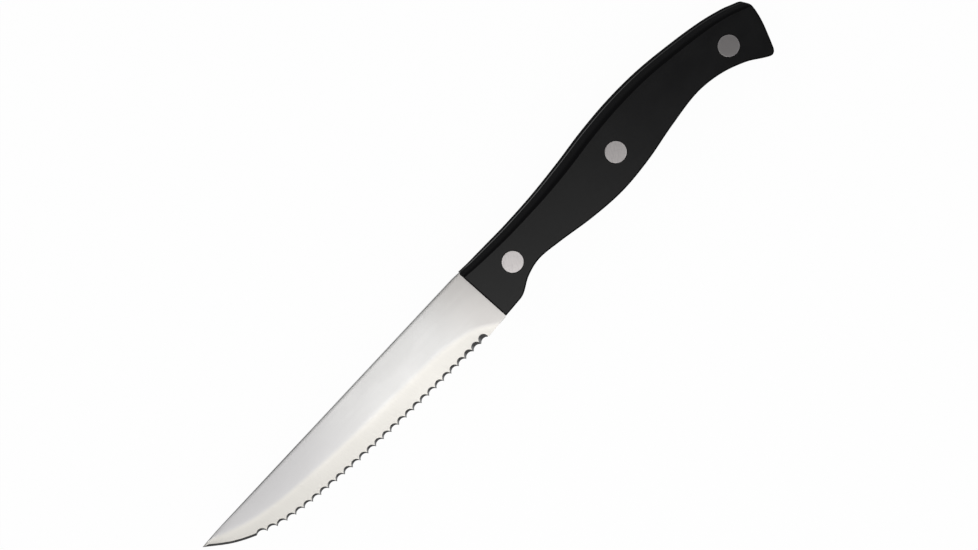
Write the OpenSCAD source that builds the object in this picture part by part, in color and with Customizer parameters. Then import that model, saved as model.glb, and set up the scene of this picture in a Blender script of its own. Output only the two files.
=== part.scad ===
// Steak knife with a full tang, two riveted scales and a serrated, ground blade.
// It is drawn lying on its right scale: X runs from the tip to the butt,
// Y from the edge to the spine, and Z up through the handle's thickness.

/* [Blade] */
// Length of the blade, from its tip to the front of the handle
blade_length = 115; // [95:1:140]
// Height of the blade at its heel, from the spine to the edge
blade_height = 20.4; // [18:0.2:24]
// Thickness of the steel in the blade and in the tang
steel_thickness = 1.5; // [1.2:0.1:2]
// Thickness that the grind leaves along the edge
edge_thickness = 0.4; // [0.3:0.05:0.6]
// Width of the bevel that sharpens the plain stretch by the tip
tip_bevel_width = 0.6; // [0.4:0.05:1]
// Thickness that the bevel leaves at the sharpened edge
fine_edge = 0.08; // [0.04:0.01:0.15]

/* [Serration] */
// Number of scallops in the row
scallop_count = 29; // [20:1:32]
// Depth of a scallop at the thin side of the edge
scallop_depth = 1; // [0.6:0.1:1.3]
// Lean of the wheel that cuts the scallops, in degrees
scallop_lean = 50; // [40:1:55]
// Flat that is left on the tip of each tooth
tooth_land = 0.12; // [0.05:0.01:0.3]
// Plain stretch of edge between the tip and the first scallop
plain_tip_length = 13.7; // [10:0.1:20]
// Plain stretch of edge between the last scallop and the handle
plain_heel_length = 8.2; // [6:0.1:14]

/* [Handle] */
// Length of the handle, from its front to the end of the butt
handle_length = 119.5; // [105:0.5:135]
// Height of the handle at its front
handle_height = 18.95; // [16.5:0.05:20]
// Thickness of one scale
scale_thickness = 5.25; // [4:0.05:7]
// Rounding along the spine side of a scale
spine_round = 1.7; // [1:0.1:2.5]
// Rounding along the front, the belly and the butt of a scale
edge_round = 0.5; // [0.3:0.1:1]

/* [Rivets] */
// Diameter of the rivet heads
head_diameter = 6.7; // [5.5:0.1:8]
// Thickness of the rivet heads
head_thickness = 1.4; // [1:0.1:2]
// Outside diameter of the tubular half
tube_diameter = 4.4; // [3.6:0.1:4.8]
// Diameter of the solid shank of the other half
post_diameter = 3; // [2.2:0.1:3.2]
// Radial clearance between the post and the bore of the tube
post_clearance = 0.02; // [0.01:0.01:0.05]
// Radial clearance round the tube and round the heads
rivet_clearance = 0.03; // [0.02:0.01:0.1]
// Gap left past the end of the post and past the end of the tube
end_gap = 0.3; // [0.1:0.05:0.6]

/* [Hidden] */
$fn = 64;

// How far a cut runs past the face that it cuts
overrun = 0.5;
// How far a scale's flat face is ground below the top of its roundings
skim = 0.01;
// Straight pieces in each stretch between two points of a curve
curve_steps = 4;
// Straight pieces in the rounding of a scale and in the bevel by the tip
round_steps = 5;
bevel_steps = 12;

// Spine, from the handle to the tip: shares of the blade's length and height
spine_shares = [[0, 0], [0.92, 0], [0.95, 0.003], [0.975, 0.008], [1, 0.016]];
// Edge, from the tip to the handle: shares of the blade's length and height
edge_shares = [[1, 0.021], [0.939, 0.297], [0.878, 0.489], [0.8, 0.664],
    [0.696, 0.77], [0.522, 0.869], [0.348, 0.936], [0.174, 0.978],
    [0.07, 1], [0.035, 0.992], [0, 0.982]];
// Upper border of the ground band, from beyond the tip to beyond the edge at the heel
grind_shares = [[1.02, -0.14], [0.978, 0.01], [0.946, 0.1], [0.907, 0.18],
    [0.867, 0.265], [0.8, 0.353], [0.734, 0.412], [0.6, 0.49], [0.468, 0.546],
    [0.334, 0.585], [0.2, 0.63], [0.13, 0.7], [0.082, 0.786], [0.05, 0.9], [0.02, 1.04]];
// Share of the blade's length, from the handle, over which the grind runs out
run_out_share = 0.2;

// Handle, from the front along the spine side to the butt: shares of its length and height
back_shares = [[0, -0.008], [0.042, -0.035], [0.1, -0.054], [0.167, -0.064],
    [0.268, -0.049], [0.377, 0.002], [0.477, 0.065], [0.577, 0.095],
    [0.678, 0.075], [0.778, -0.004], [0.879, -0.122], [0.946, -0.245], [0.979, -0.335]];
// Handle, round the butt from the spine side to the belly
butt_shares = [[0.991, -0.37], [0.998, -0.41], [1, -0.47], [0.996, -0.628],
    [0.988, -0.797], [0.977, -0.971], [0.964, -1.161], [0.96, -1.211], [0.954, -1.25]];
// Handle, from the butt along the belly to the front
belly_shares = [[0.945, -1.26], [0.929, -1.205], [0.887, -1.025], [0.82, -0.856],
    [0.745, -0.79], [0.644, -0.855], [0.536, -0.961], [0.435, -0.998],
    [0.335, -0.934], [0.234, -0.815], [0.167, -0.76], [0.117, -0.825],
    [0.072, -0.968], [0.042, -0.989], [0, -1]];
// Rivets, from the front: shares of the handle's length and height
rivet_shares = [[0.115, -0.475], [0.496, -0.481], [0.886, -0.64]];

function unit(v) = v / norm(v);
function reverse(p) = [for (i = [len(p) - 1:-1:0]) p[i]];

// A curve that runs smoothly through a list of points
function heading(p, i) = let (a = p[max(i - 1, 0)], b = p[min(i + 1, len(p) - 1)])
    (b - a) / (norm(b - p[i]) + norm(p[i] - a));
function between(p, i, t) = let (way = norm(p[i + 1] - p[i]))
    p[i] * (1 + 2 * t) * pow(1 - t, 2) + heading(p, i) * way * t * pow(1 - t, 2)
    + p[i + 1] * (3 - 2 * t) * pow(t, 2) - heading(p, i + 1) * way * (1 - t) * pow(t, 2);
function curve(p) = concat(
    [for (i = [0:len(p) - 2], j = [0:curve_steps - 1]) between(p, i, j / curve_steps)],
    [p[len(p) - 1]]);

// Points of the blade and of the handle in the plane of the steel
function on_blade(shares) = [for (s = shares) [-s[0] * blade_length, -s[1] * blade_height]];
function on_handle(shares) = [for (s = shares) [s[0] * handle_length, s[1] * handle_height]];

spine_line = on_blade(spine_shares);
edge_line = curve(on_blade(edge_shares));
grind_line = curve(on_blade(grind_shares));
handle_line = curve(on_handle(concat(back_shares, butt_shares, belly_shares)));
handle_count = len(handle_line);
back_count = (len(back_shares) - 1) * curve_steps;
rivet_places = on_handle(rivet_shares);

// The whole knife's outline, its middle and the height of its mid-plane
outline = concat(handle_line, reverse(edge_line), reverse(spine_line));
middle_x = (max([for (p = outline) p[0]]) + min([for (p = outline) p[0]])) / 2;
middle_y = (max([for (p = outline) p[1]]) + min([for (p = outline) p[1]])) / 2;
half_steel = steel_thickness / 2;
outer_z = half_steel + scale_thickness;

// Heights of the edge and of the grind's border, and the slope of the ground face, at x
function edge_y(x) = lookup(x, edge_line);
function grind_height(x) = lookup(x, grind_line) - edge_y(x);
serration_start = plain_tip_length - blade_length;
run_out_x = -run_out_share * blade_length;
full_slope = (steel_thickness - edge_thickness) / 2 / grind_height(run_out_x);
function ground_slope(x) = x > run_out_x ? full_slope
    : (steel_thickness - edge_thickness) / 2 / grind_height(x);
function ground_z(x, y) = half_steel - (lookup(x, grind_line) - y) * ground_slope(x);

// A solid through a row of rings that have the same number of points
module loft(rings) {
    n = len(rings[0]);
    m = len(rings);
    sides = [for (i = [0:m - 2], k = [0:n - 1])
        let (a = i * n + k, b = i * n + (k + 1) % n) [[a, a + n, b + n], [a, b + n, b]]];
    ends = [[for (k = [0:n - 1]) k], [for (k = [n - 1:-1:0]) (m - 1) * n + k]];
    polyhedron([for (r = rings) each r], concat(ends, [for (s = sides) each s]), convexity = 10);
}

// What the wheel takes off the left side of the blade above its ground face
module grind_cutter() {
    loft([for (p = grind_line)
        let (x = p[0], slope = ground_slope(x), low = edge_y(x) - overrun)
        [[x, p[1] + overrun, half_steel + overrun * slope],
            [x, low, half_steel + overrun],
            [x, low, ground_z(x, low)]]]);
}

// What is taken off the left side to sharpen the plain stretch by the tip
module tip_bevel_cutter() {
    low_z = fine_edge - edge_thickness / 2;
    last_x = serration_start + tooth_land;
    loft([for (k = [0:bevel_steps])
        let (x = last_x - (1 - k / bevel_steps) * (last_x + blade_length + overrun),
            y = edge_y(x), rise = ground_z(x, y + tip_bevel_width) - low_z,
            run = overrun / tip_bevel_width * [tip_bevel_width, rise])
        [[x, y + tip_bevel_width + run[0], low_z + rise + run[1]],
            [x, y - run[0], half_steel + overrun],
            [x, y - run[0], low_z - run[1]]]]);
}

// One scallop, between two points of the edge, cut by a leaning wheel
module scallop_cutter(a, b) {
    chord = norm(b - a) - tooth_land;
    rise = scallop_depth * cos(scallop_lean);
    radius = (pow(chord / 2, 2) + pow(rise, 2)) / rise / 2;
    middle = (a + b) / 2;
    translate([middle[0], middle[1], -edge_thickness / 2])
        rotate([0, 0, atan2(b[1] - a[1], b[0] - a[0])])
            rotate([-scallop_lean, 0, 0])
                translate([0, rise - radius, 0])
                    cylinder(r = radius, center = true,
                        h = 2 * (steel_thickness + overrun) / cos(scallop_lean));
}

module serration_cutters() {
    pitch = (-plain_heel_length - serration_start) / scallop_count;
    for (i = [0:scallop_count - 1]) {
        x = serration_start + i * pitch;
        scallop_cutter([x, edge_y(x)], [x + pitch, edge_y(x + pitch)]);
    }
}

// Blade and tang, cut from one sheet of steel
module blade() {
    color("silver") place() difference() {
        translate([0, 0, -half_steel]) linear_extrude(steel_thickness) polygon(outline);
        grind_cutter();
        mirror([0, 0, 1]) grind_cutter();
        tip_bevel_cutter();
        serration_cutters();
        for (p = rivet_places)
            translate([p[0], p[1], -half_steel - overrun])
                cylinder(d = tube_diameter + 2 * rivet_clearance, h = steel_thickness + 2 * overrun);
    }
}

// Point i of the handle's outline, and the way out across the side that follows it
function handle_point(i) = handle_line[(i + handle_count) % handle_count];
function way_out(i) = let (v = unit(handle_point(i + 1) - handle_point(i))) [-v[1], v[0]];

// Rounding at point i: wide along the spine side and up to the crease that runs on from it
function round_at(i) = let (
    crease_way = way_out(back_count - 1),
    crease = handle_line[back_count] - spine_round * crease_way,
    above = (handle_line[i] - crease) * crease_way,
    way = unit(way_out(i - 1) + way_out(i)))
    i <= back_count ? spine_round
    : above > 0 ? max(edge_round, above / (way * crease_way)) : edge_round;

// Step from point i of the flat face's border out to point i of the outline
function round_step(i) = let (
    a = way_out(i - 1),
    b = way_out(i),
    c = a * b)
    i > 0 ? round_at(i) * (a + b) / (1 + c)
    : (a * (edge_round - spine_round * c) + b * (spine_round - edge_round * c)) / (1 - c * c);

// The left scale's outline at one turn of the rounding, from its wall to its flat face
function scale_ring(turn) = [for (i = [0:handle_count - 1])
    let (p = handle_line[i] - (1 - cos(turn)) * round_step(i))
    [p[0], p[1], outer_z + skim - (1 - sin(turn)) * round_at(i)]];

// The scale on the left side of the knife, ground flat on both faces
module scale_plate() {
    difference() {
        intersection() {
            loft(concat([for (k = [round_steps:-1:0]) scale_ring(90 * k / round_steps)],
                [[for (p = handle_line) [p[0], p[1], half_steel - overrun]]]));
            translate([-overrun, -handle_length, half_steel])
                cube([handle_length + 2 * overrun, 2 * handle_length, scale_thickness]);
        }
        for (p = rivet_places) translate([p[0], p[1], 0]) {
            translate([0, 0, half_steel - overrun])
                cylinder(d = tube_diameter + 2 * rivet_clearance, h = scale_thickness + 2 * overrun);
            translate([0, 0, outer_z - head_thickness])
                cylinder(d = head_diameter + 2 * rivet_clearance, h = head_thickness + overrun);
        }
    }
}

module left_scale() {
    color("#1c1c1e") place() scale_plate();
}

module right_scale() {
    color("#1c1c1e") place() mirror([0, 0, 1]) scale_plate();
}

// The tubular half of a rivet, whose head lies in the right scale
module rivet_tube(i) {
    color("#b9b5b2") place() translate([rivet_places[i][0], rivet_places[i][1], -outer_z])
        difference() {
            union() {
                cylinder(d = head_diameter, h = head_thickness);
                cylinder(d = tube_diameter, h = 2 * outer_z - head_thickness - end_gap);
            }
            translate([0, 0, head_thickness])
                cylinder(d = post_diameter + 2 * post_clearance, h = 2 * outer_z);
        }
}

// The solid half of a rivet, whose head lies in the left scale
module rivet_post(i) {
    color("#b9b5b2") place() translate([rivet_places[i][0], rivet_places[i][1], outer_z])
        rotate([180, 0, 0]) {
            cylinder(d = head_diameter, h = head_thickness);
            cylinder(d = post_diameter, h = 2 * outer_z - head_thickness - end_gap);
        }
}

// Sets the origin under the middle of the knife, on the surface that it lies on
module place() {
    translate([-middle_x, -middle_y, outer_z]) children();
}

blade();
left_scale();
right_scale();
rivet_tube(0);  // front_rivet_tube
rivet_post(0);  // front_rivet_post
rivet_tube(1);  // middle_rivet_tube
rivet_post(1);  // middle_rivet_post
rivet_tube(2);  // rear_rivet_tube
rivet_post(2);  // rear_rivet_post
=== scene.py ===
import math

import bmesh
import bpy
from mathutils import Matrix, Vector


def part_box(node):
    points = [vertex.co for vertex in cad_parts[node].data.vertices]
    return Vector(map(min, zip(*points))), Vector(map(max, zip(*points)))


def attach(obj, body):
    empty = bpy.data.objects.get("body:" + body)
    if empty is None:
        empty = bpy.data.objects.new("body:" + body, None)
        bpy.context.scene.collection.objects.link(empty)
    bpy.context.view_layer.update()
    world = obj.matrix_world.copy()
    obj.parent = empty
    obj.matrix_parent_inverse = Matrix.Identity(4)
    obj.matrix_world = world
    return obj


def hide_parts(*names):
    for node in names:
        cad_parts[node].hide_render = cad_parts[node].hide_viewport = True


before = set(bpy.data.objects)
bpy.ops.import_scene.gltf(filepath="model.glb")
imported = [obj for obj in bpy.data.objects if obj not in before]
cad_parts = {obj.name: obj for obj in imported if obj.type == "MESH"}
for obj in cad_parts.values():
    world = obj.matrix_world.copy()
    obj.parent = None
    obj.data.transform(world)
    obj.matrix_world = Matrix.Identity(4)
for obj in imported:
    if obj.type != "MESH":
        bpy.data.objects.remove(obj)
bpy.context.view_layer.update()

mm = 0.001
tiny = 1e-6                         # metres within which two places are the same
hair = tiny / 10                    # and within which the two halves of the blade meet
steep, level = 0.1, 0.9             # z of the normal: a wall lies below, and a flat face above

# Where the pieces lie in the frame
bladeLow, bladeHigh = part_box("blade")
scaleLow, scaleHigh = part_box("left_scale")
rivetNames = ["front", "middle", "rear"]
rivetPlaces = []
for rivetName in rivetNames:
    low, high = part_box(rivetName + "_rivet_post")
    rivetPlaces.append((low + high) / 2)

knife = {
    "bladeLength": scaleLow.x - bladeLow.x,
    "bladeHeight": 20.4 * mm,
    "handleLength": scaleHigh.x - scaleLow.x,
    "handleHeight": 18.95 * mm,
    "firstRivetShare": -0.475,      # of the handle's height, from the spine to the front rivet
}
frontX = scaleLow.x                 # front of the handle
spineY = rivetPlaces[0].y - knife["firstRivetShare"] * knife["handleHeight"]
middleZ = (bladeLow.z + bladeHigh.z) / 2
halfSteel = (bladeHigh.z - bladeLow.z) / 2
outerZ = scaleHigh.z - middleZ      # from the middle of the steel to a scale's outer face

# Outlines as shares of length and height, from the front of the handle and from the spine.
# The pieces are made round z = 0 and moved up to the middle of the steel at the end.
spineShares = [(0, 0.015), (0.01, 0.008), (0.022, 0.002), (0.036, 0), (0.92, 0), (0.95, 0.003),
               (0.975, 0.008), (1, 0.016)]
edgeShares = [(1, 0.021), (0.939, 0.31), (0.878, 0.505), (0.8, 0.68), (0.696, 0.786),
              (0.522, 0.884), (0.348, 0.948), (0.174, 0.985), (0.07, 1), (0.035, 0.992), (0, 0.982)]
grindShares = [(1.02, -0.14), (0.978, 0.01), (0.946, 0.1), (0.907, 0.18), (0.867, 0.265),
               (0.8, 0.353), (0.734, 0.412), (0.6, 0.49), (0.468, 0.546), (0.334, 0.585),
               (0.2, 0.63), (0.13, 0.7), (0.082, 0.786), (0.05, 0.9), (0.02, 1.04)]
backShares = [(0, -0.016), (0.042, -0.038), (0.1, -0.054), (0.167, -0.064), (0.268, -0.049),
              (0.377, 0.002), (0.477, 0.065), (0.577, 0.095), (0.678, 0.075), (0.778, -0.004),
              (0.879, -0.122), (0.946, -0.245), (0.979, -0.335)]
buttShares = [(0.991, -0.37), (0.998, -0.41), (1, -0.47), (0.996, -0.628), (0.988, -0.797),
              (0.977, -0.971), (0.964, -1.161), (0.96, -1.211), (0.954, -1.25)]
bellyShares = [(0.945, -1.26), (0.929, -1.205), (0.887, -1.025), (0.82, -0.856), (0.745, -0.79),
               (0.644, -0.855), (0.536, -0.961), (0.435, -0.998), (0.335, -0.934), (0.234, -0.815),
               (0.167, -0.76), (0.117, -0.825), (0.072, -0.968), (0.042, -0.989), (0.003, -1)]
curveSteps = 10                     # points of a smooth line from one share to the next


def smoothLine(points):
    # a line that runs smoothly through all points
    def heading(i):
        before, here = points[max(i - 1, 0)], points[i]
        after = points[min(i + 1, len(points) - 1)]
        return (after - before) / ((after - here).length + (here - before).length)

    line = []
    for i in range(len(points) - 1):
        a, b = points[i], points[i + 1]
        way = (b - a).length
        for j in range(curveSteps):
            t = j / curveSteps
            line.append(a * (1 + 2 * t) * (1 - t) ** 2 + heading(i) * way * t * (1 - t) ** 2
                        + b * (3 - 2 * t) * t ** 2 - heading(i + 1) * way * (1 - t) * t ** 2)
    return line + [points[-1]]


def onBlade(shares):
    return [Vector((frontX - along * knife["bladeLength"], spineY - down * knife["bladeHeight"]))
            for along, down in shares]


def onHandle(shares):
    return [Vector((frontX + along * knife["handleLength"], spineY + up * knife["handleHeight"]))
            for along, up in shares]


def heightAt(line, x):
    # y of a line at x
    for a, b in zip(line, line[1:]):
        if min(a.x, b.x) <= x <= max(a.x, b.x) and a.x != b.x:
            return a.y + (b.y - a.y) * (x - a.x) / (b.x - a.x)
    return min((line[0], line[-1]), key=lambda p: abs(p.x - x)).y


spineLine = onBlade(spineShares)
edgeLine = smoothLine(onBlade(edgeShares))
grindLine = smoothLine(onBlade(grindShares))
handleLine = smoothLine(onHandle(backShares + buttShares + bellyShares))
backCount = (len(backShares) - 1) * curveSteps      # point at which the back ends


# Steps of modelling that every piece uses
def leave():
    # back to object mode
    if bpy.context.mode == "EDIT_MESH":
        bpy.ops.object.mode_set(mode="OBJECT")


def addPrimitive(name, kind, **settings):
    # a primitive whose place is in its mesh
    leave()
    bpy.ops.object.select_all(action="DESELECT")
    getattr(bpy.ops.mesh, "primitive_" + kind + "_add")(**settings)
    bpy.ops.object.transform_apply(location=True, rotation=True, scale=True)
    piece = bpy.context.object
    piece.name = piece.data.name = name
    return piece


def edit(piece):
    # opens a piece in edit mode with all of it selected
    leave()
    bpy.ops.object.select_all(action="DESELECT")
    bpy.context.view_layer.objects.active = piece
    piece.select_set(True)
    bpy.ops.object.mode_set(mode="EDIT")
    bpy.ops.mesh.select_all(action="SELECT")


def choose(piece, part, test):
    # selects the vertices, edges or faces for which the test holds
    bpy.ops.mesh.select_mode(type={"verts": "VERT", "edges": "EDGE", "faces": "FACE"}[part])
    bpy.ops.mesh.select_all(action="DESELECT")
    mesh = bmesh.from_edit_mesh(piece.data)
    mesh.normal_update()
    for item in getattr(mesh, part):
        if test(item):
            item.select_set(True)
    mesh.select_flush_mode()
    bmesh.update_edit_mesh(piece.data)


def moveEach(piece, places):
    # moves each selected vertex to a place of its own, in the order of the mesh
    mesh = bmesh.from_edit_mesh(piece.data)
    chosen = [v for v in mesh.verts if v.select]
    bpy.ops.mesh.select_mode(type="VERT")
    bpy.ops.mesh.select_all(action="DESELECT")
    for v, place in zip(chosen, places):
        v.select_set(True)
        bpy.ops.transform.translate(value=place - v.co)
        v.select_set(False)
    for v in chosen:
        v.select_set(True)
    mesh.select_flush(True)
    bpy.ops.mesh.select_mode(type="EDGE")


def moveAll(piece, offset):
    edit(piece)
    bpy.ops.transform.translate(value=offset)
    leave()


def applyModifier(piece, kind, **settings):
    leave()
    bpy.context.view_layer.objects.active = piece
    modifier = piece.modifiers.new(kind, kind)
    for key, value in settings.items():
        setattr(modifier, key, value)
    bpy.ops.object.modifier_apply(modifier=modifier.name)


def cutWith(piece, cutter):
    # cuts the cutter out of the piece and removes the cutter
    applyModifier(piece, "BOOLEAN", object=cutter, operation="DIFFERENCE", solver="EXACT")
    bpy.data.objects.remove(cutter, do_unlink=True)


def copyOf(piece, name):
    # a copy that has its own mesh
    leave()
    twin = piece.copy()
    twin.data = piece.data.copy()
    twin.name = twin.data.name = name
    bpy.context.collection.objects.link(twin)
    return twin


def joinAll(pieces):
    bpy.ops.object.select_all(action="DESELECT")
    for piece in pieces:
        piece.select_set(True)
    bpy.context.view_layer.objects.active = pieces[0]
    bpy.ops.object.join()
    return pieces[0]


def finishShape(piece, degrees):
    # soft shading up to an angle, with flat faces kept flat
    edit(piece)
    bpy.ops.mesh.normals_make_consistent(inside=False)
    leave()
    bpy.ops.object.shade_smooth_by_angle(angle=math.radians(degrees))
    applyModifier(piece, "WEIGHTED_NORMAL", mode="FACE_AREA", weight=80, keep_sharp=True)
    print(piece.name, "has", len(piece.data.polygons), "faces")


# Blade with its tang
blade = {
    "columnWidth": 1.0 * mm,        # spacing of the mesh along the blade
    "heelGap": 0.15 * mm,           # step from the blade to the tang
    "spineMargin": 0.9 * mm,        # strip beside the spine that falls away a little
    "marginShare": 0.125,           # most of the blade's height that it takes
    "spineFall": 0.02 * mm,
    "spineFallEnd": 4 * mm,         # over which that ends before the handle
    "tipTaper": 0.32 * mm,          # that each flat comes in at the tip
    "taperLength": 40 * mm,
    "borderWidth": 1.35 * mm,       # half the soft border of the grind
    "borderRows": (1, 0.6, 0.2, -0.2, -0.6, -1),        # where rows run, as shares of that half
    "squeeze": 0.02 * mm,           # least spacing of the rows, where the blade is low
    "squeezeShare": 0.025,          # of the blade's height, where that is less
    "bevelWidth": 0.82 * mm,        # of the sharpening bevel by the tip
    "bevelShare": 0.6,              # most of the blade's height that it takes
    "bevelEnd": 0.45 * mm,          # over which it ends by the first scallop
    "edgeThickness": 0.4 * mm,      # of the ground edge, before sharpening
    "fineEdge": 0.08 * mm,          # of the sharpened edge by the tip
    "runOutShare": 0.2,             # of the blade's length, over which the grind runs out
    "rimRound": 0.16 * mm,          # along the blade
    # mm from the tip, and share of the rounding from there on
    "rimStarts": ((1.2, 0.12), (2.4, 0.22), (4, 0.35), (6, 0.5), (9, 0.65), (12, 0.8), (16, 1)),
    "rimSegments": 3,
    "tangBreak": 0.04 * mm,         # rounding round the tang
    "shadeAngle": 18,
}
scallop = {
    "count": 29,
    "depth": 1.0 * mm,
    "tipLean": 53,                  # degrees of a wheel up the blade, by the tip and by the heel
    "heelLean": 58,
    "backLean": 5,                  # towards the tip
    "land": 0.12 * mm,              # of the plain edge left between two scallops
    "plainTip": 13.7 * mm,          # plain stretches before the first and after the last
    "plainHeel": 8.2 * mm,
    "sides": 128,
    "wheelLength": 6 * mm,
}
bore = {
    "sides": 96,
    "shankRadius": 2.23 * mm,
    "headRadius": 3.38 * mm,
    "headDepth": 1.4 * mm,
    "overrun": 1 * mm,              # of a head's cutter past the outer face
    "cutterShare": 1.5,             # of the handle's thickness, the length of a shank's cutter
    "break": 0.08 * mm,             # bevel of the bore's rim
    "breakSegments": 2,
    "reach": 0.005 * mm,            # from the bore's circle, within which a vertex is on its rim
}

serrationStart = bladeLow.x + scallop["plainTip"]
bevelLast = serrationStart + scallop["land"] / 2
runOutX = frontX - blade["runOutShare"] * knife["bladeLength"]
lastColumn = frontX - blade["heelGap"]


def flatHeight(x):
    # half the thickness of the flats, which come in towards the tip
    left = max(1 - (x - bladeLow.x) / blade["taperLength"], 0)
    return halfSteel - blade["tipTaper"] * left ** 2


def steelHeight(x, y):
    # half the thickness of the steel: full on the flat, less below the soft border of the grind
    border, groundX, flat = blade["borderWidth"], min(x, runOutX), flatHeight(x)
    groundHeight = heightAt(grindLine, groundX) - heightAt(edgeLine, groundX)
    slope = (flat - blade["edgeThickness"] / 2) / groundHeight
    below = heightAt(grindLine, x) - y
    if y > heightAt(spineLine, x) - tiny:
        return flat - blade["spineFall"] * min((lastColumn - x) / blade["spineFallEnd"], 1)
    if below <= -border:
        return flat
    if below < border:
        below = (below + border) ** 2 / (4 * border)
    return flat - slope * below


def bladeColumns():
    # x of each column, with two of them where the bevel by the tip ends
    step, columns = blade["columnWidth"], [bladeLow.x]
    while columns[-1] + step < serrationStart:
        columns.append(columns[-1] + step)
    columns += [bevelLast, bevelLast + blade["bevelEnd"]]
    while columns[-1] + 1.5 * step < lastColumn:        # the last one is over half a step wide
        columns.append(columns[-1] + step)
    return columns + [lastColumn]


def bladeRows(x):
    # heights of one column's rows: spine, margin, border of the grind, ground face, bevel, edge
    top, bottom, border = heightAt(spineLine, x), heightAt(edgeLine, x), heightAt(grindLine, x)
    high = top - bottom
    squeeze = min(blade["squeeze"], high * blade["squeezeShare"])
    margin = top - min(blade["spineMargin"], high * blade["marginShare"])
    # the bevel keeps its width across the edge, which rises towards the tip
    edgeRise = (bottom - heightAt(edgeLine, x + blade["columnWidth"])) / blade["columnWidth"]
    bevelHeight = blade["bevelWidth"] * math.hypot(1, edgeRise)
    bevelTop = bottom + min(bevelHeight, high * blade["bevelShare"])
    wanted = [border + blade["borderWidth"] * share for share in blade["borderRows"]]
    wanted.append((wanted[-1] + bevelTop) / 2)
    rows = [top, margin]
    for k, y in enumerate(wanted):
        least, most = bevelTop + (len(wanted) - k) * squeeze, margin - (k + 1) * squeeze
        rows.append(min(max(y, least), most))
    return rows + [bevelTop, bottom]


def onRim(edge):
    # an edge between a flat side and a wall, where the steel isn't ground
    flats = [flatHeight(v.co.x) - blade["spineFall"] - tiny for v in edge.verts]
    if len(edge.link_faces) != 2 or any(abs(v.co.z) < flat for v, flat in zip(edge.verts, flats)):
        return False
    leans = sorted(abs(face.normal.z) for face in edge.link_faces)
    return leans[0] < steep and leans[1] > level


def onTang(edge):
    return all(v.co.x > lastColumn - tiny for v in edge.verts)


def makeSide():
    # one side of the blade, as a grid whose columns and rows follow the outline and the grind
    columns = bladeColumns()
    rows = [bladeRows(x) for x in columns]
    across, down = len(columns) - 1, len(rows[0]) - 1
    long, high = knife["bladeLength"], knife["bladeHeight"]
    middle = Vector((frontX - long / 2, spineY - high / 2, 0))
    piece = addPrimitive("bladeAndTang", "grid", x_subdivisions=across, y_subdivisions=down,
                         size=long, location=middle)
    edit(piece)
    bpy.ops.transform.resize(value=(1, high / long, 1), center_override=middle)
    places = []
    for v in bmesh.from_edit_mesh(piece.data).verts:
        column = round((v.co.x - bladeLow.x) / long * across)
        row = round((spineY - v.co.y) / high * down)
        x, y = columns[column], rows[column][row]
        places.append(Vector((x, y, steelHeight(x, y))))
    moveEach(piece, places)
    return piece


def addTang(piece):
    # its outline is drawn from the spine round the butt and back to the edge, and filled
    rows = bladeRows(lastColumn)
    start = here = Vector((lastColumn, rows[0], halfSteel))
    end = Vector((lastColumn, rows[-1], halfSteel))
    choose(piece, "verts", lambda v: (v.co - start).length < tiny)
    for point in handleLine:
        there = Vector((point.x, point.y, halfSteel))
        bpy.ops.mesh.extrude_vertices_move(TRANSFORM_OT_translate={"value": there - here})
        here = there
    choose(piece, "verts", lambda v: (v.co - here).length < tiny or (v.co - end).length < tiny)
    bpy.ops.mesh.edge_face_add()
    choose(piece, "edges", onTang)
    bpy.ops.mesh.edge_face_add()


def closeSteel(piece):
    # walls down to the middle of the steel, and the other half
    choose(piece, "edges", lambda e: e.is_boundary)
    bpy.ops.mesh.extrude_edges_move()
    bpy.ops.transform.resize(value=(1, 1, 0), center_override=(0, 0, 0))
    applyModifier(piece, "MIRROR", use_axis=(False, False, True), merge_threshold=hair)
    edit(piece)
    bpy.ops.mesh.normals_make_consistent(inside=False)
    choose(piece, "edges", lambda e: all(abs(v.co.z) < hair for v in e.verts))
    bpy.ops.mesh.dissolve_edges(use_verts=True)


def roundRim(piece):
    # along the blade, less and less towards the tip, and barely round the tang
    def middleX(edge):
        return (edge.verts[0].co.x + edge.verts[1].co.x) / 2

    ways, shares = zip(*blade["rimStarts"])
    starts = [bladeLow.x + way * mm for way in ways] + [lastColumn]
    for share, fromX, toX in zip(shares, starts, starts[1:]):
        choose(piece, "edges", lambda e: onRim(e) and fromX < middleX(e) < toX)
        bpy.ops.transform.edge_bevelweight(value=share)
    choose(piece, "edges", lambda e: onRim(e) and onTang(e))
    bpy.ops.transform.edge_bevelweight(value=blade["tangBreak"] / blade["rimRound"])
    applyModifier(piece, "BEVEL", width=blade["rimRound"], segments=blade["rimSegments"],
                  limit_method="WEIGHT", use_clamp_overlap=False)


def sharpenTip(piece):
    # a bevel on the left side, from the tip to the first scallop
    edit(piece)
    choose(piece, "verts", lambda v: v.co.x < bevelLast + tiny and v.co.z > 0
           and abs(v.co.y - heightAt(edgeLine, v.co.x)) < tiny)
    bpy.ops.transform.translate(value=(0, 0, blade["fineEdge"] - blade["edgeThickness"]))
    leave()


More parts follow.
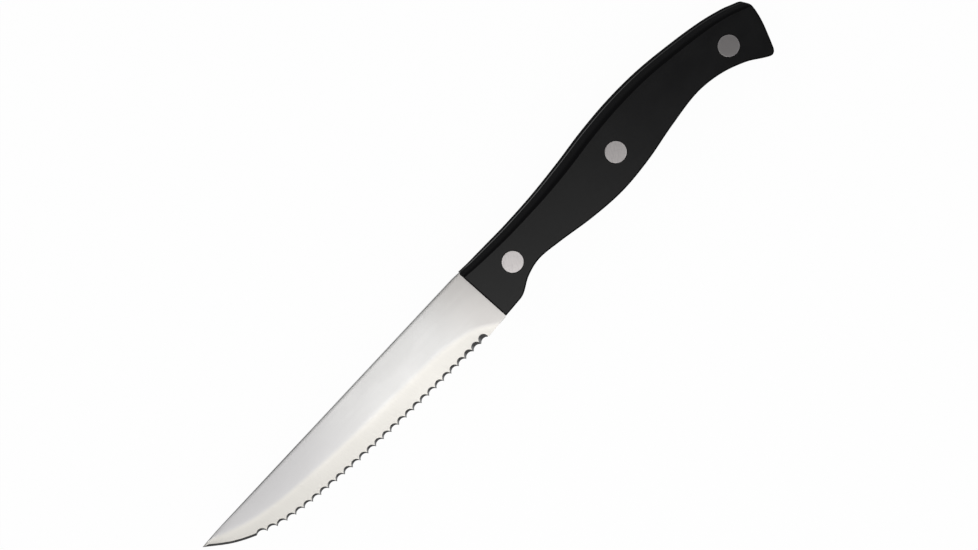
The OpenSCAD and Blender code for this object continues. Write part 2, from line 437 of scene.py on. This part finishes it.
def makeScallopWheels(first):
    # every second wheel, so that no two that cut together cross
    pitch = (frontX - scallop["plainHeel"] - serrationStart) / scallop["count"]
    deep, halfLength = scallop["depth"], scallop["wheelLength"] / 2
    original = addPrimitive("wheel", "cylinder", vertices=scallop["sides"], radius=1,
                            depth=2 * halfLength)
    wheels = []
    for i in range(first, scallop["count"], 2):
        x = serrationStart + i * pitch
        a, b = (Vector((x + far, heightAt(edgeLine, x + far), 0)) for far in (0, pitch))
        halfChord = ((b - a).length - scallop["land"]) / 2
        radius = (halfChord ** 2 + deep ** 2) / deep / 2
        wheel = copyOf(original, "scallopWheel")
        edit(wheel)
        bpy.ops.transform.resize(value=(radius, radius, 1), center_override=(0, 0, 0))
        bpy.ops.transform.translate(value=(0, deep - radius, 0))
        # its two ends move apart, and so it leans
        share = i / (scallop["count"] - 1)
        upLean = scallop["tipLean"] + (scallop["heelLean"] - scallop["tipLean"]) * share
        back, up = (halfLength * math.tan(math.radians(lean))
                    for lean in (-scallop["backLean"], upLean))
        for end in (1, -1):
            choose(wheel, "verts", lambda v: v.co.z * end > 0)
            bpy.ops.transform.translate(value=(end * back, end * up, 0))
        leave()
        # across the edge, and full depth at the lower side of the ground edge
        lowered = (a + b) / 2 - Vector((0, 0, blade["edgeThickness"] / 2))
        edgeTurn = math.atan2(b.y - a.y, b.x - a.x)
        wheel.matrix_world = Matrix.Translation(lowered) @ Matrix.Rotation(edgeTurn, 4, "Z")
        wheels.append(wheel)
    bpy.data.objects.remove(original, do_unlink=True)
    return joinAll(wheels)


def makeBores(name, radius, depth, z):
    # a cutter for each rivet, with the middle of its length at z
    return joinAll([addPrimitive(name, "cylinder", vertices=bore["sides"], radius=radius,
                                 depth=depth, location=(place.x, place.y, z))
                    for place in rivetPlaces])


def makeShankBores():
    return makeBores("shankBore", bore["shankRadius"], bore["cutterShare"] * 2 * outerZ, 0)


print("Blade")
bladePiece = makeSide()
addTang(bladePiece)
closeSteel(bladePiece)
roundRim(bladePiece)
sharpenTip(bladePiece)
cutWith(bladePiece, makeScallopWheels(0))
cutWith(bladePiece, makeScallopWheels(1))
cutWith(bladePiece, makeShankBores())
moveAll(bladePiece, (0, 0, middleZ))
finishShape(bladePiece, blade["shadeAngle"])

# Scales
scale = {
    "spineRound": 1.7 * mm,         # wide rounding along the spine side
    "edgeRound": 0.5 * mm,          # narrow rounding along the front, the belly and the butt
    "roundSteps": 8,
    "creaseSlope": 18,              # degrees at which the roundings meet the flat face
    "leastStep": 0.004 * mm,        # of the flat face's border from point to point
    "shadeAngle": 14,
}
# share of the wide rounding that each scale has, along the handle's length
leftShares = [(0, 0.66), (0.04, 0.75), (0.115, 0.9), (0.22, 1.04), (0.37, 1.32), (0.525, 1.28),
              (0.68, 1.2), (0.83, 1.1), (0.92, 0.93), (1, 0.8)]
rightShares = [(0, 2.2), (0.03, 1.85), (0.07, 1.25), (0.14, 0.95), (0.25, 0.88), (0.38, 0.65),
               (0.46, 0.3), (0.58, 0.2), (0.7, 0.27), (0.8, 0.45), (0.88, 0.42), (1, 0.25)]


def wayOut(i):
    # way out across the side that follows point i of the handle's outline
    way = (handleLine[(i + 1) % len(handleLine)] - handleLine[i % len(handleLine)]).normalized()
    return Vector((-way.y, way.x))


def backRound(i, roundLine):
    # width of the wide rounding at point i of the back
    along = (handleLine[i].x - frontX) / knife["handleLength"]
    return scale["spineRound"] * heightAt(roundLine, along)


def scaleRound(i, roundLine):
    # width of the rounding at point i: past the back, the crease of the wide one runs straight on
    if i <= backCount:
        return backRound(i, roundLine)
    creaseWay = wayOut(backCount - 1)
    above = (handleLine[i] - handleLine[backCount]).dot(creaseWay) + backRound(backCount, roundLine)
    across = (wayOut(i - 1) + wayOut(i)).normalized().dot(creaseWay)
    return max(scale["edgeRound"], above / across) if above > 0 else scale["edgeRound"]


def scaleStep(i, rounds):
    # step from the flat face's border out to the outline
    a, b = wayOut(i - 1), wayOut(i)
    c = a.dot(b)
    if i > 0:
        return rounds[i] * (a + b) / (1 + c)
    # at the first point the narrow rounding of the front meets the wide one
    narrow, wide = scale["edgeRound"], rounds[0]
    return (a * (narrow - wide * c) + b * (wide - narrow * c)) / (1 - c * c)


def scaleSteps(rounds):
    # the steps of all points, with a border that never turns back on itself in a tight corner
    steps = [scaleStep(i, rounds) for i in range(len(handleLine))]
    for i in range(1, len(steps)):
        way = (handleLine[i] - handleLine[i - 1]).normalized()
        along = (handleLine[i] - steps[i] - handleLine[i - 1] + steps[i - 1]).dot(way)
        steps[i] -= max(scale["leastStep"] - along, 0) * way
    return steps


def makeScale(name, shares):
    # a loop on the steel, extruded up and over the rounding ring by ring, and closed
    roundLine = smoothLine([Vector(s) for s in shares])
    rounds = [scaleRound(i, roundLine) for i in range(len(handleLine))]
    steps = scaleSteps(rounds)
    halfLength = knife["handleLength"] / 2
    piece = addPrimitive(name, "circle", vertices=len(handleLine), radius=halfLength,
                         fill_type="NOTHING", location=(frontX + halfLength, 0, halfSteel))
    edit(piece)
    moveEach(piece, [Vector((p.x, p.y, halfSteel)) for p in handleLine])
    bpy.ops.mesh.edge_face_add()
    lastTurn = math.radians(90 - scale["creaseSlope"])
    for k in range(scale["roundSteps"] + 1):
        turn = lastTurn * k / scale["roundSteps"]
        inward = (1 - math.cos(turn)) / (1 - math.cos(lastTurn))
        upward = math.sin(turn) / math.sin(lastTurn)
        places = []
        for p, size, step in zip(handleLine, rounds, steps):
            flat = p - inward * step
            places.append(Vector((flat.x, flat.y, outerZ - (1 - upward) * size)))
        bpy.ops.mesh.select_mode(type="EDGE")
        bpy.ops.mesh.extrude_edges_move()
        moveEach(piece, places)
    bpy.ops.mesh.edge_face_add()
    bpy.ops.mesh.select_all(action="SELECT")
    bpy.ops.mesh.normals_make_consistent(inside=False)
    leave()
    return piece


def onBoreRim(v):
    distances = [abs((v.co - place).xy.length - bore["headRadius"]) for place in rivetPlaces]
    return abs(v.co.z - outerZ) < tiny and min(distances) < bore["reach"]


def drillScale(piece):
    # the stepped bores, with their rims broken
    cutWith(piece, makeShankBores())
    cutWith(piece, makeBores("headBore", bore["headRadius"], bore["headDepth"] + bore["overrun"],
                             outerZ + (bore["overrun"] - bore["headDepth"]) / 2))
    edit(piece)
    choose(piece, "edges", lambda e: all(onBoreRim(v) for v in e.verts))
    bpy.ops.mesh.bevel(offset=bore["break"], segments=bore["breakSegments"], affect="EDGES")
    leave()


print("Scales")
leftScale = makeScale("leftScale", leftShares)
drillScale(leftScale)
rightScale = makeScale("rightScale", rightShares)
drillScale(rightScale)
edit(rightScale)
bpy.ops.transform.resize(value=(1, 1, -1), center_override=(0, 0, 0))
for piece in (leftScale, rightScale):
    moveAll(piece, (0, 0, middleZ))
    finishShape(piece, scale["shadeAngle"])

# Rivets
rivet = {
    "sides": 96,
    "headRadius": 3.35 * mm,
    "headThickness": 1.4 * mm,
    "tubeRadius": 2.2 * mm,
    "postRadius": 1.5 * mm,
    "boreRadius": 1.52 * mm,        # inside the tube, round the post
    "endGap": 0.3 * mm,             # from the end of each shank to the other half's head
    "headBreak": 0.1 * mm,          # bevel of a head's rim
    "endBreak": 0.15 * mm,          # bevel of the post's end
    "breakSegments": 3,
    "rimAngle": 60,                 # degrees between faces, above which an edge is a rim
    "shadeAngle": 35,
}
shankEnd = outerZ - rivet["headThickness"] - rivet["endGap"]        # from the middle of the steel


def extrudeUp(height):
    bpy.ops.mesh.extrude_region_move(TRANSFORM_OT_translate={"value": (0, 0, height)})


def makeRivetHalf(name, shankRadius, direction):
    # a head with a shank that points down, or up where direction is 1
    headZ = outerZ - rivet["headThickness"] / 2
    piece = addPrimitive(name, "cylinder", vertices=rivet["sides"], radius=rivet["headRadius"],
                         depth=rivet["headThickness"], location=(0, 0, -direction * headZ))
    edit(piece)
    choose(piece, "faces", lambda f: f.normal.z * direction > level)
    bpy.ops.mesh.inset(thickness=rivet["headRadius"] - shankRadius)
    extrudeUp(direction * (outerZ - rivet["headThickness"] + shankEnd))
    return piece


def breakRims(piece, height, size):
    # small bevel on the rims at one height
    choose(piece, "edges", lambda e: all(abs(v.co.z - height) < tiny for v in e.verts)
           and e.calc_face_angle(0) > math.radians(rivet["rimAngle"]))
    bpy.ops.mesh.bevel(offset=size, segments=rivet["breakSegments"], affect="EDGES")


print("Rivets")
post = makeRivetHalf("rivetPost", rivet["postRadius"], -1)
breakRims(post, outerZ, rivet["headBreak"])
breakRims(post, -shankEnd, rivet["endBreak"])
tube = makeRivetHalf("rivetTube", rivet["tubeRadius"], 1)
bpy.ops.mesh.inset(thickness=rivet["tubeRadius"] - rivet["boreRadius"])
extrudeUp(rivet["headThickness"] - outerZ - shankEnd)
breakRims(tube, -outerZ, rivet["headBreak"])
leave()
rivetPieces = {}
for rivetName, place in zip(rivetNames, rivetPlaces):
    for half, name in ((post, "Post"), (tube, "Tube")):
        piece = copyOf(half, rivetName + "Rivet" + name)
        moveAll(piece, (place.x, place.y, middleZ))
        finishShape(piece, rivet["shadeAngle"])
        rivetPieces[rivetName + "_rivet_" + name.lower()] = piece
for half in (post, tube):
    bpy.data.objects.remove(half, do_unlink=True)


# Finishes
class Wire:
    # a shader value that adds and multiplies like a number
    def __init__(self, socket):
        self.socket = socket

    def join(self, operation, first, second):
        return addNode(self.socket.id_data, "Math", {"operation": operation}, [first, second])

    def __add__(self, other):
        return self.join("ADD", self, other)

    def __radd__(self, other):
        return self.join("ADD", other, self)

    def __sub__(self, other):
        return self.join("SUBTRACT", self, other)

    def __rsub__(self, other):
        return self.join("SUBTRACT", other, self)

    def __mul__(self, other):
        return self.join("MULTIPLY", self, other)

    def __rmul__(self, other):
        return self.join("MULTIPLY", other, self)


def addNode(tree, kind, settings, inputs, output=0):
    # one node, with its settings made first, and then the values or links of its sockets
    node = tree.nodes.new("ShaderNode" + kind)
    for key, value in settings.items():
        setattr(node, key, value)
    for key, value in (inputs.items() if isinstance(inputs, dict) else enumerate(inputs)):
        if isinstance(value, Wire):
            tree.links.new(value.socket, node.inputs[key])
        else:
            node.inputs[key].default_value = value
    return Wire(node.outputs[output]) if node.outputs else None


class Finish:
    # a material, whose patterns are made from the place and the direction of the surface
    def __init__(self, name):
        self.material = bpy.data.materials.new(name)
        self.material.use_nodes = True
        self.tree = self.material.node_tree
        self.tree.nodes.clear()
        self.place = self.node("TexCoord", {}, [], "Object")

    def node(self, kind, settings, inputs, output=0):
        return addNode(self.tree, kind, settings, inputs, output)

    def along(self, axis):
        # place along an axis
        return self.node("SeparateXYZ", {}, [self.place], axis)

    def facing(self, axis):
        # how far the surface faces along an axis
        normal = self.node("NewGeometry", {}, [], "Normal")
        return self.node("SeparateXYZ", {}, [normal], axis)

    def ramp(self, value, low, high):
        # 0 below low, 1 above high, smooth between
        return self.node("MapRange", {"interpolation_type": "SMOOTHSTEP"},
                         {"Value": value, "From Min": low, "From Max": high})

    def noise(self, grains, detail, turn=0):
        # noise from 0 to 1, with its number of grains per metre along each axis
        domain = self.node("Mapping", {"vector_type": "TEXTURE"},
                           {"Vector": self.place, "Rotation": (0, 0, math.radians(turn)),
                            "Scale": [1 / count for count in grains]})
        return self.node("TexNoise", {}, {"Vector": domain, "Scale": 1, "Detail": detail})

    def tint(self, share, first, second):
        return self.node("Mix", {"data_type": "RGBA"}, {0: share, 6: first, 7: second}, 2)

    def bump(self, height, strength, distance):
        return self.node("Bump", {}, {"Strength": strength, "Distance": distance, "Height": height},
                         "Normal")

    def shader(self, **inputs):
        sockets = {key.replace("_", " "): value for key, value in inputs.items()}
        return self.node("BsdfPrincipled", {}, sockets)

    def finish(self, shader):
        self.node("OutputMaterial", {}, [shader])
        return self.material


def shade(value, warm=0.0):
    # a grey, with a little more red and less blue where it is warm
    return (value * (1 + warm), value, value * (1 - 2 * warm), 1)


# A fade is the stretch of x over which one colour turns into the next. A facing is a range of how
# far the surface faces along an axis, squared where that is z. Grains are counted per metre.
steelLook = {
    "tipFlat": (0.658, 0.648, 0.65, 1),
    "flat": (0.678, 0.672, 0.662, 1),
    "heelFlat": (0.645, 0.624, 0.604, 1),
    "flatFade": (-90 * mm, -40 * mm),
    "heelFade": (-24 * mm, -3 * mm),
    "ground": shade(0.81, 0.03),
    "groundFacing": (0.008, 0.058),         # down, towards the edge
    # painted shade on the scallops' hollows and the bevel by the tip, far darker than the steel is
    "paintedSharpShade": shade(0.045),
    "paintedSharpSideReflection": shade(0.19),               # painted reflection, lighter, on a hollow's side that looks away from the tip
    "sideFacing": (0, 0.6),
    "sharpFacing": (0.88, 0.97),            # below which a face is a hollow or a bevel
    # painted shade on the walls of the spine and the edge
    "rim": shade(0.22),
    "plainRimShade": shade(0.42),                # painted shade, less deep, of the spine between the tip and the handle
    "plainFade": (-78 * mm, -64 * mm),
    "plainEnd": (-9 * mm, -3 * mm),
    "rimFacing": (0.02, 0.12),              # below which a face is the rim
    "frontRimShade": shade(0.015),               # painted shade on the tang's rim where it meets the front of the scales
    "tangRim": shade(0.105),
    # painted shade, deepening towards the butt
    "buttRimShade": shade(0.035),
    "tangStart": (-0.2 * mm, 0.8 * mm),     # from the front of the handle
    "tangFade": (0, 4 * mm),
    "buttFade": (30 * mm, 115 * mm),
    "tangRoughness": 0.7,
    "flatRoughness": 0.3,
    "groundRoughness": 0.34,
    "rimRoughness": 0.15,                   # more than the flats
    "brushGrains": (60, 5000, 300),         # along the flats
    "grindGrains": (4200, 110, 300),        # across the ground face
    "grindTurn": 8,
    "patchGrains": (90, 240, 90),
    "brushColor": shade(0.4),
    "brushShare": 0.035,
    "brushRange": (0.25, 0.75),
    "brushRoughness": 0.06,
    "patchRoughness": 0.05,
    "brushBump": (0.06, 0.02 * mm),
}


def makeSteel():
    steel, look = Finish("brushedSteel"), steelLook
    x, up = steel.along("X"), steel.facing("Z")
    side = up * up
    ground = steel.ramp(-1 * steel.facing("Y"), *look["groundFacing"])
    paintedSharpShade = 1 - steel.ramp(side, *look["sharpFacing"])
    rim = 1 - steel.ramp(side, *look["rimFacing"])
    brushed = steel.noise(look["brushGrains"], 3)
    grinding = steel.noise(look["grindGrains"], 3, look["grindTurn"])
    patches = steel.noise(look["patchGrains"], 3)
    brush = steel.node("Mix", {"data_type": "FLOAT"}, {0: ground, 2: brushed, 3: grinding})
    color = steel.tint(steel.ramp(x, *look["flatFade"]), look["tipFlat"], look["flat"])
    color = steel.tint(steel.ramp(x, *look["heelFade"]), color, look["heelFlat"])
    color = steel.tint(ground, color, look["ground"])
    color = steel.tint(steel.ramp(brush, *look["brushRange"]) * look["brushShare"], color,
                       look["brushColor"])
    # painted shade on the hollows and the bevel, with a lighter painted reflection on the hollows'
    # sides that look away from the tip
    awayFromTip = steel.ramp(steel.facing("X"), *look["sideFacing"])
    color = steel.tint(paintedSharpShade, color, steel.tint(awayFromTip, look["paintedSharpShade"], look["paintedSharpSideReflection"]))
    # the walls get painted shade, less deep along the middle of the spine
    plain = steel.ramp(x, *look["plainFade"]) * (1 - steel.ramp(x, *look["plainEnd"]))
    color = steel.tint(rim, color, steel.tint(plain, look["rim"], look["plainRimShade"]))
    roughness = look["flatRoughness"] + (look["groundRoughness"] - look["flatRoughness"]) * ground
    roughness = (roughness + (brush - 0.5) * look["brushRoughness"]
                 + (patches - 0.5) * look["patchRoughness"] + look["rimRoughness"] * rim)
    bright = steel.shader(Base_Color=color, Metallic=1.0, Roughness=roughness,
                          Normal=steel.bump(brush, *look["brushBump"]))
    # the tang's own rim, between the scales, with painted shade at the front and deepening towards
    # the butt
    fromFront = x - frontX
    pastFrontShade = steel.ramp(fromFront, *look["tangFade"])
    tangColor = steel.tint(pastFrontShade, look["frontRimShade"], look["tangRim"])
    tangColor = steel.tint(steel.ramp(x, *look["buttFade"]), tangColor, look["buttRimShade"])
    dull = steel.shader(Base_Color=tangColor, Roughness=look["tangRoughness"],
                        Specular_IOR_Level=0.0)
    tangRim = rim * steel.ramp(fromFront, *look["tangStart"])
    return steel.finish(steel.node("MixShader", {}, [tangRim, bright, dull]))


plasticLook = {
    "color": (0.0062, 0.0062, 0.0062, 1),
    # painted shade, darker towards the butt
    "rearShadeColor": (0.0009, 0.0009, 0.0013, 1),
    "rearShadeFade": (35 * mm, 85 * mm),
    "dust": (0.011, 0.011, 0.0115, 1),
    "dustShare": 0.15,
    "dustRange": (0.3, 0.75),
    "roughness": 0.36,
    "patchRoughness": 0.1,
    "scratchRoughness": 0.06,
    "specular": 0.35,
    "faceFacing": (0.92, 0.985),            # above which a face is flat
    "edgeColor": (0.0108, 0.0108, 0.0112, 1),
    # painted shade in the crease where the roundings meet the flat face
    "paintedCreaseShade": (0.0055, 0.0055, 0.0058, 1),
    "creaseFacing": (0.45, 0.88),
    "edgeRoughness": 0.7,
    "edgeSpecular": 0.0,
    "grains": (4500, 4500, 4500),
    "grainBump": (0.25, 0.03 * mm),
    "patchGrains": (110, 160, 160),
    "scratchGrains": (90, 2600, 800),
    "scratchTurn": 24,
    "scratchRange": (0.66, 0.76),
}


def makePlastic():
    plastic, look = Finish("satinBlackPlastic"), plasticLook
    grain = plastic.noise(look["grains"], 2)
    patches = plastic.noise(look["patchGrains"], 3)
    scratches = plastic.noise(look["scratchGrains"], 2, look["scratchTurn"])
    # painted shade: the plastic grows darker towards the butt
    rear = plastic.ramp(plastic.along("X"), *look["rearShadeFade"])
    color = plastic.tint(rear, look["color"], look["rearShadeColor"])
    color = plastic.tint(plastic.ramp(patches, *look["dustRange"]) * look["dustShare"], color,
                         look["dust"])
    roughness = (look["roughness"] + (patches - 0.5) * look["patchRoughness"]
                 + plastic.ramp(scratches, *look["scratchRange"]) * look["scratchRoughness"])
    bump = plastic.bump(grain, *look["grainBump"])
    satin = plastic.shader(Base_Color=color, Roughness=roughness, Normal=bump,
                           Specular_IOR_Level=look["specular"])
    # the flat faces are ground smooth with the rivets, and the roundings are as moulded
    up = plastic.facing("Z")
    side = up * up
    # colour of the roundings, with painted shade in the crease next to the flat face
    edgeColor = plastic.tint(plastic.ramp(side, *look["creaseFacing"]), look["edgeColor"],
                             look["paintedCreaseShade"])
    matte = plastic.shader(Base_Color=edgeColor, Roughness=look["edgeRoughness"], Normal=bump,
                           Specular_IOR_Level=look["edgeSpecular"])
    onFace = plastic.ramp(side, *look["faceFacing"])
    return plastic.finish(plastic.node("MixShader", {}, [onFace, matte, satin]))


rivetLook = {
    "color": (0.78, 0.74, 0.733, 1),
    "scratch": (0.55, 0.52, 0.515, 1),
    # painted shade on the rivets towards the butt
    "rear": (0.5, 0.48, 0.482, 1),
    "rearShadeShare": 0.7,
    "rearShadeFade": (60 * mm, 100 * mm),
    "roughness": 0.32,
    "strokeRoughness": 0.16,
    "strokeGrains": (500, 5200, 300),       # fine strokes of the grinding
    "strokeTurn": 52,
    "strokeRange": (0.42, 0.8),
    "strokeShare": 0.5,
    "strokeBump": (0.2, 0.02 * mm),
    "markGrains": (260, 2400, 300),         # single scratches of use
    "markTurn": -35,
    "markRange": (0.6, 0.75),
    "markShare": 0.25,
}


def makeRivetMetal():
    metal, look = Finish("brushedRivet"), rivetLook
    strokes = metal.noise(look["strokeGrains"], 3, look["strokeTurn"])
    marks = metal.noise(look["markGrains"], 2, look["markTurn"])
    scratched = (metal.ramp(strokes, *look["strokeRange"]) * look["strokeShare"]
                 + metal.ramp(marks, *look["markRange"]) * look["markShare"])
    color = metal.tint(scratched, look["color"], look["scratch"])
    # painted shade, darker on the rivets towards the butt
    rear = metal.ramp(metal.along("X"), *look["rearShadeFade"]) * look["rearShadeShare"]
    color = metal.tint(rear, color, look["rear"])
    roughness = look["roughness"] + (strokes - 0.5) * look["strokeRoughness"]
    return metal.finish(metal.shader(Base_Color=color, Metallic=1.0, Roughness=roughness,
                                     Normal=metal.bump(strokes, *look["strokeBump"])))


def dress(piece, material, nodeName):
    piece.data.materials.clear()
    piece.data.materials.append(material)
    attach(piece, "root")
    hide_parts(nodeName)


print("Finishes")
dress(bladePiece, makeSteel(), "blade")
plastic = makePlastic()
dress(leftScale, plastic, "left_scale")
dress(rightScale, plastic, "right_scale")
rivetMetal = makeRivetMetal()
for nodeName, piece in rivetPieces.items():
    dress(piece, rivetMetal, nodeName)

# Stage
studio = {
    "floorSize": 6,
    "floorDrop": 0.01 * mm,         # below the scale that the knife lies on
    "floorColor": (0.95, 0.95, 0.95, 1),
    "floorGlow": 0.97,              # share of the floor that the camera sees as plain white
    "lowLight": 1.34,               # of the room near the horizon
    "highLight": 0.08,              # of the room overhead
    "lightFade": (0.45, 0.85),      # height of a direction, from the low light to the high one
    "white": (1, 1, 1, 1),
    "panelTurn": -13.9,
}
# Place, size and brightness of the long panel over the blade, and of the small one over its middle
panels = {
    "longPanel": ((-0.0886, -0.0906, 0.3), (0.378, 0.116), 1.2),
    "smallPanel": ((-0.0565, -0.0598, 0.297), (0.066, 0.066), 1.48),
}


def makeFloor():
    floor = addPrimitive("floor", "plane", size=studio["floorSize"],
                         location=(0, 0, -studio["floorDrop"]))
    pale = Finish("paleFloor")
    rays = [pale.node("LightPath", {}, [], name)
            for name in ("Is Camera Ray", "Is Glossy Ray", "Is Transmission Ray")]
    seen = pale.node("Math", {"operation": "ADD", "use_clamp": True}, [rays[0] + rays[1], rays[2]])
    diffuse = pale.node("BsdfDiffuse", {}, {"Color": studio["floorColor"]})
    plain = pale.node("Emission", {}, {"Color": studio["white"], "Strength": 1.0})
    mixed = pale.node("MixShader", {}, [seen * studio["floorGlow"], diffuse, plain])
    floor.data.materials.append(pale.finish(mixed))


def makeRoom():
    world = bpy.data.worlds.new("room")
    bpy.context.scene.world = world
    world.use_nodes = True
    tree = world.node_tree
    tree.nodes.clear()
    way = addNode(tree, "TexCoord", {}, [], "Generated")
    up = addNode(tree, "SeparateXYZ", {}, [way], "Z")
    low, high = studio["lightFade"]
    share = addNode(tree, "MapRange", {"interpolation_type": "SMOOTHSTEP"},
                    {"Value": up, "From Min": low, "From Max": high})
    light = studio["lowLight"] + (studio["highLight"] - studio["lowLight"]) * share
    glow = addNode(tree, "Background", {}, {"Color": studio["white"], "Strength": light})
    addNode(tree, "OutputWorld", {}, [glow])


def makePanel(name, place, size, brightness):
    # a lit panel that looks straight down
    lamp = bpy.data.lights.new(name, "AREA")
    lamp.shape = "RECTANGLE"
    lamp.size, lamp.size_y = size
    lamp.energy = brightness * lamp.size * lamp.size_y * math.pi
    panel = bpy.data.objects.new(name, lamp)
    panel.location = place
    panel.rotation_euler = (0, 0, math.radians(studio["panelTurn"]))
    panel.visible_camera = False
    bpy.context.collection.objects.link(panel)


view = {
    "target": (3.48 * mm, 3.53 * mm, 6.0 * mm),
    "offset": (31.1 * mm, 146.0 * mm, 810.6 * mm),      # from the target to the camera
    "lens": 99.49,
    "sensor": 36,
    "turn": 46.91,                  # of the knife's length above the horizontal
    "nearest": 0.01,
    "farthest": 20,
}


def makeCamera():
    camera = bpy.data.objects.new("camera", bpy.data.cameras.new("camera"))
    camera.data.lens, camera.data.sensor_width = view["lens"], view["sensor"]
    camera.data.clip_start, camera.data.clip_end = view["nearest"], view["farthest"]
    offset = Vector(view["offset"])
    back = offset.normalized()
    along = (Vector((1, 0, 0)) - back * back.x).normalized()
    across = back.cross(along)
    turn = math.radians(view["turn"])
    right = math.cos(turn) * along - math.sin(turn) * across
    up = math.sin(turn) * along + math.cos(turn) * across
    axes = Matrix((right, up, back)).transposed().to_4x4()
    camera.matrix_world = Matrix.Translation(Vector(view["target"]) + offset) @ axes
    bpy.context.collection.objects.link(camera)
    bpy.context.scene.camera = camera


print("Stage")
makeFloor()
makeRoom()
for panelName, (place, size, brightness) in panels.items():
    makePanel(panelName, place, size, brightness)
makeCamera()
bpy.context.scene.view_settings.view_transform = "Standard"

print("Done")
